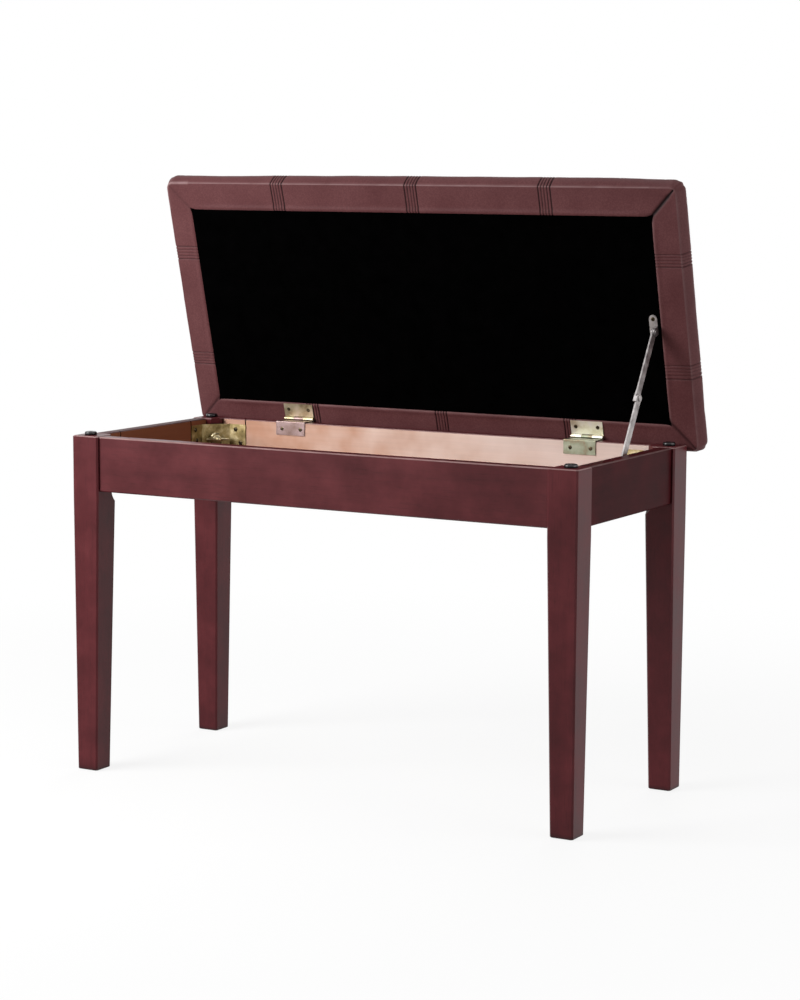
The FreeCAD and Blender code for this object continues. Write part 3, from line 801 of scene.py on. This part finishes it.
def cushion(material):
    xs = grid_lines(pad_low.x, pad_high.x, cross_bands, fine_steps)
    ys = grid_lines(pad_low.y, pad_high.y, long_bands, fine_steps)
    points, faces = box_skin(xs, ys, level_lines(*fine_levels))
    laid = [shifted(q) for q in points]
    swell = swell_reader()
    smooth = [pad_point(p) + swell(p) for p in laid]
    piece = add_piece("seat_cushion", smooth, faces, Matrix.Identity(4), material, "lid",
                      "burgundy_leather")
    ways = [n.vector.copy() for n in piece.data.vertex_normals]
    pairs = list(zip(points, laid))
    for vertex, way, (q, p) in zip(piece.data.vertices, ways, pairs):
        vertex.co = TO_LID @ (vertex.co + way * surface_move(q, p))
    store(piece.data, "flat", "FLOAT_VECTOR", "vector", [c * MM for p in laid for c in p])
    # Painted shade in the creases and painted highlights on the edges, per point
    store(piece.data, "crease_shade", "FLOAT", "value", [crease_shade_at(q, p) for q, p in pairs])
    store(piece.data, "painted_highlight", "FLOAT", "value", [painted_highlight_at(q, p) for q, p in pairs])
    piece.data.update()
    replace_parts(piece, "seat_cover", "seat_foam")
    return piece


def felt_place(x, y):
    """Rounds the corners of the felt's rectangle."""
    middle = (felt_low + felt_high) / 2
    half = (felt_high - felt_low) / 2
    dx = max(abs(x - middle.x) - half.x + felt_corner, 0.0)
    dy = max(abs(y - middle.y) - half.y + felt_corner, 0.0)
    new_x, new_y = turned_round(dx, dy)
    return x + math.copysign(new_x - dx, x - middle.x), y + math.copysign(new_y - dy, y - middle.y)


def felt_sheet(material):
    """Stretched sheet with its border rolled down to the board."""
    xs = spread(felt_low.x, felt_high.x, felt_step)
    ys = spread(felt_low.y, felt_high.y, felt_step)
    verts = []
    for y in ys:
        for x in xs:
            border = min(x - felt_low.x, felt_high.x - x, y - felt_low.y, felt_high.y - y)
            rise = (felt_high.z - felt_low.z) * (1 - eased(border / felt_step))
            ripple = felt_ripple * noise.noise(Vector((x, y, 0)) / felt_ripple_size)
            ripple *= eased(border / felt_ripple_fade)
            verts.append((*felt_place(x, y), felt_low.z + rise + felt_ripple + ripple))
    row = len(xs)
    faces = [(j * row + i, (j + 1) * row + i, (j + 1) * row + i + 1, j * row + i + 1)
             for j in range(len(ys) - 1) for i in range(row - 1)]
    piece = add_piece("felt_sheet", verts, faces, TO_LID, material, "lid", "black_felt")
    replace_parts(piece, "dust_cover")


# Fasteners

def cross_recess(x, y, reach, width):
    """From 0 outside the driver's cross to 1 in it."""
    def arm(a, b):
        return eased((reach - abs(a)) / (0.3 * reach)) * eased((width - abs(b)) / (0.6 * width) + 0.5)
    return max(arm(x, y), arm(y, x))


def screw_head(radius, rise, count=48, steps=11):
    """Domed head with a cross recess, sunk a little into what it holds."""
    loops = [circle(radius * 0.98, -screw_sunk, count), circle(radius, 0.12, count)]
    reach = recess_reach * radius
    width = recess_width * radius
    for k in range(1, steps):
        r = radius * (1 - k / steps)
        dome = rise * math.sqrt(max(1 - (r / radius) ** 2, 0.02))
        loop = [(x, y, dome - recess_depth * rise * cross_recess(x, y, reach, width))
                for x, y, _ in circle(r, 0, count)]
        loops.append(loop)
    return rings(loops)


def corner_spot(signs, along, across, z):
    """Point on a corner's diagonal, from the aprons' inner corner towards the middle."""
    root = math.sqrt(2)
    x = signs[0] * (inner_x - (along - across) / root)
    y = signs[1] * (inner_y - (along + across) / root)
    return x, y, z


def bracket_screws_all():
    head = screw_head(bracket_screw_radius, bracket_screw_rise)
    parts = []
    for sx, sy in CORNERS.values():
        for reach, z in long_wing_screws:
            spot = (sx * (inner_x - reach), sy * (inner_y - bracket_sheet), z)
            parts.append((head, facing(spot, (0, -sy, 0))))
        for reach, z in short_wing_screws:
            spot = (sx * (inner_x - bracket_sheet), sy * (inner_y - reach), z)
            parts.append((head, facing(spot, (-sx, 0, 0))))
    return joined(parts)


def hinge_frame_screws():
    head = screw_head(hinge_screw_radius, hinge_screw_rise)
    parts = []
    for side in ("left", "right"):
        low, high = box_mm("hinge_frame_leaf_" + side)
        for shift in (-frame_leaf_screw_spread, frame_leaf_screw_spread):
            middle = (low.x + high.x) / 2 + frame_leaf_screw_shift
            spot = (middle + shift, low.y, low.z + frame_leaf_screw_rise)
            parts.append((head, facing(spot, (0, -1, 0))))
    return joined(parts)


def hinge_lid_screws():
    head = screw_head(hinge_screw_radius, hinge_screw_rise)
    parts = []
    for side in ("left", "right"):
        low, high = closed_box("hinge_lid_leaf_" + side)
        for shift in (-lid_leaf_screw_spread, lid_leaf_screw_spread):
            x = (low.x + high.x) / 2 + shift
            spot = (x, hinge_at.y / MM - lid_leaf_screw_reach, under_z - lid_leaf_sheet)
            parts.append((head, facing(spot, (0, 0, -1))))
    return joined(parts)


def stay_lid_screw():
    low, high = closed_box("stay_lid_bracket")
    radius = (high.x - low.x) / 2
    spot = (low.x + radius, low.y + radius, felt_low.z - stay_sheet)
    return joined([(screw_head(stay_screw_radius, stay_screw_rise), facing(spot, (0, 0, -1)))])


def stay_foot_screws():
    low, high = box_mm("stay_frame_bracket")
    middle = (low + high) / 2
    head = screw_head(stay_screw_radius, stay_screw_rise)
    return joined([(head, facing((high.x - stay_sheet, middle.y + shift, middle.z), (-1, 0, 0)))
                   for shift in (-stay_foot_screw_spread, stay_foot_screw_spread)])


def threaded_rod(length, count=20, per_turn=6):
    """Rod along Z with a helical thread and a bevelled end."""
    loops = []
    for k in range(int(length / thread_pitch * per_turn) + 1):
        z = k * thread_pitch / per_turn
        end = min(1.0, (length - z) / thread_end)
        loop = []
        for i in range(count):
            phase = (z / thread_pitch - i / count) % 1
            r = bolt_radius - thread_depth * abs(2 * phase - 1) - thread_end_taper * (1 - end)
            a = 2 * math.pi * i / count
            loop.append((r * math.cos(a), r * math.sin(a), z))
        loops.append(loop)
    return rings(loops)


def wing(count=16, steps=10):
    """One wing of a nut, rising out of the hub along X and Z."""
    loops = []
    for k in range(steps + 1):
        t = k / steps
        tip = math.sqrt(max(1 - max((t - wing_tip_from) / (1 - wing_tip_from), 0) ** 2, 0.004))
        x = wing_root + wing_reach * t
        z = wing_base + wing_lift * t * t
        high = (wing_half_height + wing_belly * math.sin(math.pi * t)) * tip
        thick = (wing_half_thick - wing_thinning * t) * tip
        loops.append([(x, thick * math.sin(a), z + high * math.cos(a))
                      for a in (2 * math.pi * i / count for i in range(count))])
    return rings(loops)


def wing_nut():
    """Flanged hub with a wing to each side."""
    as_made = Matrix.Identity(4)
    half_turn = Matrix.Rotation(math.pi, 4, "Z")
    return joined([(lathe(hub_profile), as_made), (wing(), as_made), (wing(), half_turn)])


def on_corner_diagonals(form, along):
    """Copies a form to all four corners, its Z towards the middle and its X level."""
    parts = []
    for sx, sy in CORNERS.values():
        way = Vector((-sx, -sy, 0)).normalized()
        level = Vector((-way.y, way.x, 0))
        turn = Matrix((level, way.cross(level), way)).transposed().to_4x4()
        parts.append((form, Matrix.Translation(Vector(corner_spot((sx, sy), along, 0, bolt_z))) @ turn))
    return joined(parts)


def bumpers():
    """Low rubber buttons: rounded rim with a dimple in the middle."""
    low, high = box_mm("lid_bumpers")
    height = high.z - low.z
    shift_x = high.x - bumper_radius
    shift_y = high.y - bumper_radius
    profile = [(bumper_radius * 0.9, 0.0), (bumper_radius, 0.5)]
    for k in range(9):
        a = math.pi / 2 * k / 8
        profile.append((bumper_radius - bumper_edge * (1 - math.cos(a)),
                        height - bumper_edge * (1 - math.sin(a))))
    profile += [(radius, height - depth) for radius, depth in dimple_profile]
    button = lathe(profile)
    return joined([(button, Matrix.Translation(Vector((sx * shift_x, sy * shift_y, low.z))))
                   for sx, sy in CORNERS.values()])


# Dressing of the CAD nodes

def dress(node, material, edge=None, width=0.0):
    """New material for a CAD node, with its edges rounded and, if given, an edge finish."""
    piece = NODES[node]
    piece.data.materials.clear()
    piece.data.materials.append(material)
    if width:
        round_off = piece.modifiers.new("eased", "BEVEL")
        round_off.width = width * MM
        round_off.segments = 3
        round_off.limit_method = "ANGLE"
        round_off.angle_limit = math.radians(30)
    if edge:
        piece.data.materials.append(edge)
        round_off.material = 1


def dress_wood():
    grain_x, grain_y, grain_z = 0, 1, 2
    leg_wood = stained_wood("leg_wood", grain_z, 0.18)
    leg_edge = worn_highlit_edge("leg_edge", grain_z)
    for name in CORNERS:
        dress("leg_" + name, leg_wood, leg_edge, 0.7)
    pale = ((0.58, 0.305, 0.200), (0.83, 0.61, 0.52), (0.94, 0.75, 0.68))
    brown = ((0.34, 0.125, 0.068), (0.38, 0.145, 0.080), (0.46, 0.180, 0.100))
    # Side boards darkened to 0.6 as painted shade
    boards = ((("apron_front", "apron_rear"), grain_x, pale, 1.0, 0.20),
              (("apron_left", "apron_right"), grain_y, brown, 0.60, 0.02))
    for names, axis, tones, depth, specular in boards:
        board = apron_wood("apron_wood_%d" % axis, axis, tones, depth, specular)
        edge = worn_highlit_edge("apron_edge_%d" % axis, axis)
        for name in names:
            dress(name, board, edge, 0.6)
    dress("bottom_panel", pressed_board("pressed_board"))
    dress("seat_board", ply_wood("ply_wood"))


def dress_hinges(pin_steel):
    """Leaves of two batches: the left pair golden over mauve grey, the right pair paler over green grey."""
    batches = {"left": (((0.30, 0.23, 0.13), (0.52, 0.47, 0.31), (0.64, 0.56, 0.46)),
                        ((0.20, 0.13, 0.11), (0.27, 0.19, 0.18), (0.34, 0.25, 0.25))),
               "right": (((0.76, 0.70, 0.55), (0.93, 0.90, 0.78), (0.95, 0.90, 0.88)),
                         ((0.24, 0.16, 0.10), (0.27, 0.29, 0.21), (0.36, 0.35, 0.28)))}
    for side, (lid_tones, frame_tones) in batches.items():
        for part, tones in (("lid_leaf_", lid_tones), ("frame_leaf_", frame_tones)):
            leaf = plated(part + side, tones, 0.36, 0.56, 60.0)
            dress("hinge_" + part + side, leaf, width=0.25)
        dress("hinge_pin_" + side, pin_steel, width=0.2)


def dress_metal(zinc, steel):
    for name in CORNERS:
        dress("corner_bracket_" + name, zinc, width=0.3)
    for part in ("lid_bracket", "lid_rivet", "upper_arm", "elbow_rivet", "lower_arm", "frame_bracket"):
        dress("stay_" + part, steel, width=0.35)


def build_pieces():
    zinc_tones = ((0.12, 0.088, 0.036), (0.36, 0.28, 0.13), (0.70, 0.60, 0.38))
    zinc = plated("yellow_zinc", zinc_tones, 0.40, 0.60, 55.0)
    steel = plated("stay_steel", ((0.22, 0.20, 0.20), (0.54, 0.51, 0.50)), 0.34, 0.48, 70.0)
    nickel = plated("nut_plate", ((0.28, 0.22, 0.11), (0.80, 0.71, 0.50)), 0.26, 0.42, 120.0)
    screw_steel = plated("screw_steel", ((0.016, 0.011, 0.006), (0.13, 0.10, 0.06)), 0.20, 0.34, 160.0)
    rubber = moulded("bumper_rubber", (0.006, 0.006, 0.007), (0.014, 0.013, 0.014), 0.16, 0.28, 0.5)
    nylon = moulded("glide_nylon", (0.03, 0.026, 0.025), (0.06, 0.054, 0.05), 0.4, 0.55, 0.4)
    dress_wood()
    dress_metal(zinc, steel)
    dress_hinges(nickel)
    dress("foot_glides", nylon, width=0.8)
    pad = cushion(leather("burgundy_leather"))
    felt_sheet(felt_cloth("black_felt"))
    add_piece("bracket_screws", *bracket_screws_all(), TO_WORLD, screw_steel, "frame", "yellow_zinc")
    add_piece("hinge_frame_screws", *hinge_frame_screws(), TO_WORLD, screw_steel, "frame", "hinge_zinc")
    add_piece("hinge_lid_screws", *hinge_lid_screws(), TO_LID, screw_steel, "lid", "hinge_zinc")
    add_piece("stay_lid_screw", *stay_lid_screw(), TO_LID, screw_steel, "lid", "stay_steel")
    add_piece("stay_foot_screws", *stay_foot_screws(), TO_WORLD, screw_steel, "frame", "stay_steel")
    seat = bracket_bend / math.sqrt(2) + bracket_sheet
    bolts = on_corner_diagonals(threaded_rod(bolt_out + bolt_sunk), seat - bolt_sunk)
    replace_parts(add_piece("threaded_bolts", *bolts, TO_WORLD, nickel, "frame", "nickel"), "hanger_bolts")
    nuts = on_corner_diagonals(wing_nut(), seat)
    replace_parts(add_piece("winged_nuts", *nuts, TO_WORLD, nickel, "frame", "nickel"), "wing_nuts")
    buttons = add_piece("rubber_buttons", *bumpers(), TO_WORLD, rubber, "frame", "black_rubber")
    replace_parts(buttons, "lid_bumpers")


# Stage

def camera():
    yaw, pitch, roll = (math.radians(a) for a in (camera_yaw, camera_pitch, camera_roll))
    ahead = Vector((-math.sin(yaw) * math.cos(pitch), math.cos(yaw) * math.cos(pitch), -math.sin(pitch)))
    right = Vector((math.cos(yaw), math.sin(yaw), 0))
    up = right.cross(ahead)
    right, up = right * math.cos(roll) + up * math.sin(roll), up * math.cos(roll) - right * math.sin(roll)
    data = bpy.data.cameras.new("camera")
    data.sensor_fit = "VERTICAL"
    data.sensor_height = camera_sensor
    data.lens = camera_lens
    piece = bpy.data.objects.new("camera", data)
    bpy.context.scene.collection.objects.link(piece)
    turn = Matrix((right, up, -ahead)).transposed().to_4x4()
    piece.matrix_world = Matrix.Translation(Vector(camera_place)) @ turn
    bpy.context.scene.camera = piece


def soft_light(name, spot, target, size, watts):
    data = bpy.data.lights.new(name, "AREA")
    data.shape = "RECTANGLE"
    data.size, data.size_y = size
    data.energy = watts
    piece = bpy.data.objects.new(name, data)
    piece.matrix_world = facing(spot, Vector(spot) - Vector(target))
    bpy.context.scene.collection.objects.link(piece)


def seen_directly(tree):
    """1 for rays from the camera and in reflections."""
    path = tree.nodes.new("ShaderNodeLightPath")
    seen = path.outputs["Is Camera Ray"]
    for other in ("Is Glossy Ray", "Is Transmission Ray"):
        either = tree.nodes.new("ShaderNodeMath")
        either.operation = "MAXIMUM"
        tree.links.new(seen, either.inputs[0])
        tree.links.new(path.outputs[other], either.inputs[1])
        seen = either.outputs[0]
    return seen


def studio():
    world = bpy.data.worlds.new("studio")
    bpy.context.scene.world = world
    world.use_nodes = True
    tree = world.node_tree
    level = tree.nodes.new("ShaderNodeMapRange")
    tree.links.new(seen_directly(tree), level.inputs["Value"])
    level.inputs["To Min"].default_value = ambient
    level.inputs["To Max"].default_value = 1.0
    back = tree.nodes["Background"]
    back.inputs["Color"].default_value = (1, 1, 1, 1)
    tree.links.new(level.outputs[0], back.inputs["Strength"])
    for name, (spot, target, size, watts) in lamps.items():
        soft_light(name, spot, target, size, watts)


def floor():
    s = Shader("floor")
    tree = s.tree
    seen = seen_directly(tree)
    mottle = s.ramp(s.noise(s.place(), 3.0), (0.0, 0.43), (1.0, 0.49))
    s.finish(Base_Color=s.mix(seen, mottle, (0.95, 0.95, 0.95, 1)), Roughness=0.9, Specular_IOR_Level=0.1)
    glow = s.node("Emission", {"Color": (1, 1, 1, 1), "Strength": 1.0})
    blend = s.node("MixShader", {1: s.surface.outputs[0], 2: glow.outputs[0]})
    far = s.node("VectorMath", {0: s.place()}, operation="LENGTH").outputs["Value"]
    plain = s.ramp(s.math("MULTIPLY", far, 0.5), (0.2, 0.86), (0.75, 1.0))
    share = s.math("MULTIPLY", seen, plain)
    tree.links.new(share, blend.inputs[0])
    tree.links.new(blend.outputs[0], tree.nodes["Material Output"].inputs["Surface"])
    mesh = bpy.data.meshes.new("floor")
    verts = [(sx * floor_half, sy * floor_half, 0) for sx, sy in CORNERS.values()]
    mesh.from_pydata(verts, [], [(0, 1, 2, 3)])
    mesh.materials.append(s.material)
    piece = bpy.data.objects.new("floor", mesh)
    bpy.context.scene.collection.objects.link(piece)


camera()
studio()
floor()
build_pieces()
bpy.context.scene.view_settings.view_transform = "Standard"
